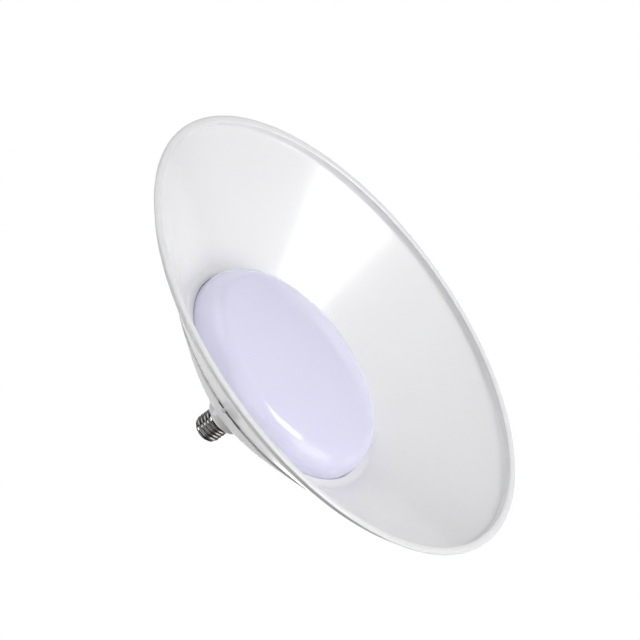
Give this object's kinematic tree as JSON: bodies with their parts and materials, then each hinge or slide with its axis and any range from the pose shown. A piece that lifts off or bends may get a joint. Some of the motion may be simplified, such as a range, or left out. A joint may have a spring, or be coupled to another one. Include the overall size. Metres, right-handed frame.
{
  "type": "led high bay light",
  "caption": "LED high bay lamp with a screw cap: a saucer-shaped housing with an opal cover, locked into a wide white cone reflector with a rolled lip.",
  "frame": {"origin": "centre of the reflector's rim, in the plane in which the rim rests", "axes": "+Z along the lamp's axis towards the screw cap, -Y towards one of the lock tongues"},
  "size_m": [0.43, 0.43, 0.1687],
  "materials": {
    "reflector_white": "gloss white enamel",
    "housing_white": "gloss",
    "cover_opal": "opal, gloss",
    "cap_metal": "nickel plated",
    "cap_black": "gloss",
    "led_board_white": "satin",
    "led_yellow": "satin",
    "nylon_white": "matte",
    "pad_grey": "matte",
    "spreader_metal": "mill",
    "screw_steel": "zinc plated",
    "tray_white": "matte",
    "board_green": "satin",
    "capacitor_dark": "gloss",
    "film_yellow": "gloss",
    "ferrite": "matte",
    "winding_tape": "satin",
    "chip_black": "matte",
    "resistor_blue": "gloss",
    "absorber_blue": "gloss",
    "lead_black": "satin",
    "lead_white": "satin",
    "lead_red": "satin"
  },
  "bodies": {
    "root": {"reflector": "reflector_white", "housing": "housing_white", "light_cover": "cover_opal", "cap_barrel": "cap_metal", "cap_insulator": "cap_black", "tip_contact": "cap_metal", "led_board": "led_board_white", "led_packages": "led_yellow", "led_connector": "nylon_white", "thermal_pad": "pad_grey", "heat_spreader": "spreader_metal", "board_screws": "screw_steel", "driver_tray": "tray_white", "driver_board": "board_green", "driver_screws": "screw_steel", "bulk_capacitor": "capacitor_dark", "output_capacitor": "capacitor_dark", "film_capacitor": "film_yellow", "transformer_core": "ferrite", "transformer_winding": "winding_tape", "filter_choke": "ferrite", "bridge_rectifier": "chip_black", "driver_chip": "chip_black", "fuse_resistor": "resistor_blue", "surge_absorber": "absorber_blue", "tip_lead": "lead_black", "barrel_lead": "lead_white", "positive_lead": "lead_red", "negative_lead": "lead_black"}
  },
  "joints": []
}
